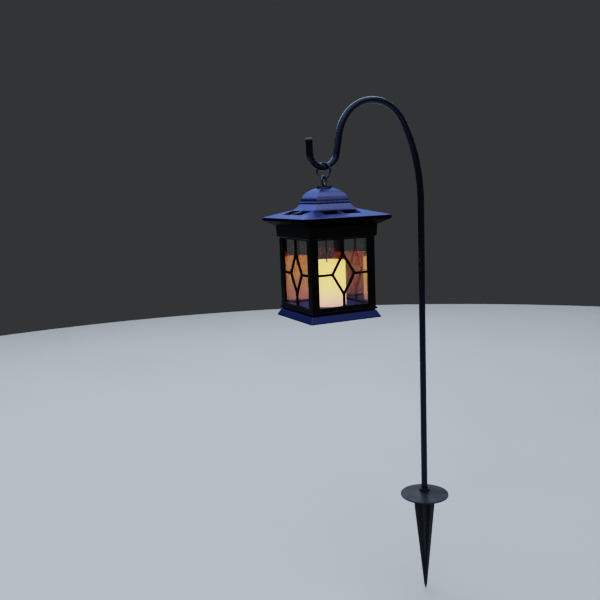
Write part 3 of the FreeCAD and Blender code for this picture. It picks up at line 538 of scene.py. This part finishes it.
# width of the rounded edges, mm
BEVELS = {
    "roof_shell": 0.35, "base_shell": 0.35, "base_cover": 0.25, "battery_door": 0.25,
    "ground_stake": 0.4, "switch_knob": 0.12, "switch_body": 0.2, "lead_block": 0.4,
    "hanger_nut": 0.2, "hanger_washer": 0.12, "ceiling_plate": 0.2, "circuit_board": 0.15,
    "lamp_holder": 0.2, "base_cover_screws": 0.1, "ceiling_screws": 0.1, "board_screws": 0.1,
    "battery": 0.3,
}
for side in SIDES:
    BEVELS[f"side_frame_{side}"] = 0.3
    BEVELS[f"pane_{side}"] = 0.15
SHARP = 34                   # edges that turn further than this are rounded, degrees
HIPPED = {"roof_shell": 16, "base_shell": 16}    # shells whose shallow hips are rounded as well
CLEAR_PLAY = 0.05            # gap left round a clear pane, so that both faces reflect, mm
WELD_GAP = 0.001             # vertices nearer than this are one, mm
FLAT = 0.6                   # faces that turn less than this are one, degrees


def dress_nodes():
    """Give every CAD node its finish, and soften the edges of the moulded ones."""
    slots = {part["node"]: part["material_slot"] for part in frame["record"]["subparts"]}
    finishes = {make.__name__: make() for make in MAKERS}
    for name, node in NODES.items():
        if name.startswith("solar_panel_"):
            finish = solar_cell(SIDES.index(name.rsplit("_", 1)[1]))
        else:
            finish = finishes[slots[name]]
        for slot in node.material_slots:
            slot.material = finish
        if name in BEVELS:
            soften(node, BEVELS[name] * MM, HIPPED.get(name, SHARP), slots[name] == "clear_pane")


def soften(node, width, limit, clear):
    """Join split vertices, merge flat faces, round the edges over the limit and keep flats flat.

    A clear plate is first drawn in a little on every side.
    """
    weld = node.modifiers.new("weld", "WELD")
    weld.merge_threshold = WELD_GAP * MM
    merge = node.modifiers.new("merge", "DECIMATE")
    merge.decimate_type = "DISSOLVE"
    merge.angle_limit = math.radians(FLAT)
    if clear:
        shrink = node.modifiers.new("shrink", "DISPLACE")
        shrink.mid_level = 0.0
        shrink.strength = -CLEAR_PLAY * MM
    bevel = node.modifiers.new("bevel", "BEVEL")
    bevel.width = width
    bevel.segments = 2
    bevel.limit_method = "ANGLE"
    bevel.angle_limit = math.radians(limit)
    bevel.use_clamp_overlap = False
    even = node.modifiers.new("even", "WEIGHTED_NORMAL")
    even.keep_sharp = False


# ---- stage and light -----------------------------------------------------------------------

FLOOR_R = 3.0
FLOOR_SIDES = 96
SOFTBOX_AWAY = 2.5
SOFTBOX_LOW, SOFTBOX_HIGH = 1.2, 3.3
# direction in degrees from +X, width in metres and brightness of each soft box in the ring
SOFTBOXES = ((85, 4.2, 1.75), (162, 2.3, 0.8), (212, 2.3, 0.8), (257, 2.3, 1.0), (302, 2.3, 0.60),
             (10, 2.3, 0.55))
SOFTBOX_DEPTH = 0.9          # how much deeper a box is than its height range, as it leans over
OVERHEAD_Z, OVERHEAD_WIDE, OVERHEAD_RADIANCE = 3.6, 4.4, 1.2
SURROUND = (0.045, 0.047, 0.048)
COOL = (0.70, 0.82, 1.0)


def add_floor():
    """Round pale floor, with a faint trowelled tone."""
    turns = [math.tau * k / FLOOR_SIDES for k in range(FLOOR_SIDES)]
    corners = [(FLOOR_R * math.cos(turn), FLOOR_R * math.sin(turn), FLOOR_Z) for turn in turns]
    mesh = bpy.data.meshes.new("floor")
    mesh.from_pydata(corners, [], [list(range(FLOOR_SIDES))])
    floor = bpy.data.objects.new("floor", mesh)
    bpy.context.scene.collection.objects.link(floor)
    finish = Finish("floor_paint")
    tone = finish.noise(0.35, 5, 0.55)
    finish.drive("Base Color", finish.blend(tone, (0.60, 0.58, 0.55), (0.66, 0.64, 0.61)))
    finish.drive("Roughness", finish.span(tone, 0.3, 0.7, 0.62, 0.72))
    mesh.materials.append(finish.material)


def add_softbox(name, place, aim, wide, tall, radiance):
    """Square soft light of a given brightness that faces a point."""
    data = bpy.data.lights.new(name, "AREA")
    data.shape = "RECTANGLE"
    data.size = wide
    data.size_y = tall
    data.color = COOL
    data.energy = radiance * math.pi * wide * tall
    light = bpy.data.objects.new(name, data)
    light.location = place
    light.rotation_euler = (Vector(aim) - Vector(place)).to_track_quat("-Z", "Y").to_euler()
    bpy.context.scene.collection.objects.link(light)


def add_lights():
    """A ring of tall soft boxes above eye level, one overhead, and a dim even surround."""
    middle = (LANTERN_X / 2, 0.0, ROOF_LOW[2])
    tall = math.hypot(SOFTBOX_HIGH - SOFTBOX_LOW, SOFTBOX_DEPTH)
    for azimuth, wide, radiance in SOFTBOXES:
        turn = math.radians(azimuth)
        place = (middle[0] + SOFTBOX_AWAY * math.cos(turn), middle[1] + SOFTBOX_AWAY * math.sin(turn),
                 (SOFTBOX_LOW + SOFTBOX_HIGH) / 2)
        add_softbox(f"softbox_{azimuth}", place, middle, wide, tall, radiance)
    add_softbox("overhead", (middle[0], 0.0, OVERHEAD_Z), middle, OVERHEAD_WIDE, OVERHEAD_WIDE,
                OVERHEAD_RADIANCE)
    world = bpy.data.worlds.new("surround")
    world.use_nodes = True
    world.node_tree.nodes["Background"].inputs[0].default_value = (*SURROUND, 1.0)
    bpy.context.scene.world = world


def set_tone():
    """Film-like tone curve, which keeps the lit candle from clipping."""
    settings = bpy.context.scene.view_settings
    settings.view_transform = "Filmic"
    settings.look = "High Contrast"


add_camera()
dress_nodes()
add_floor()
add_lights()
set_tone()
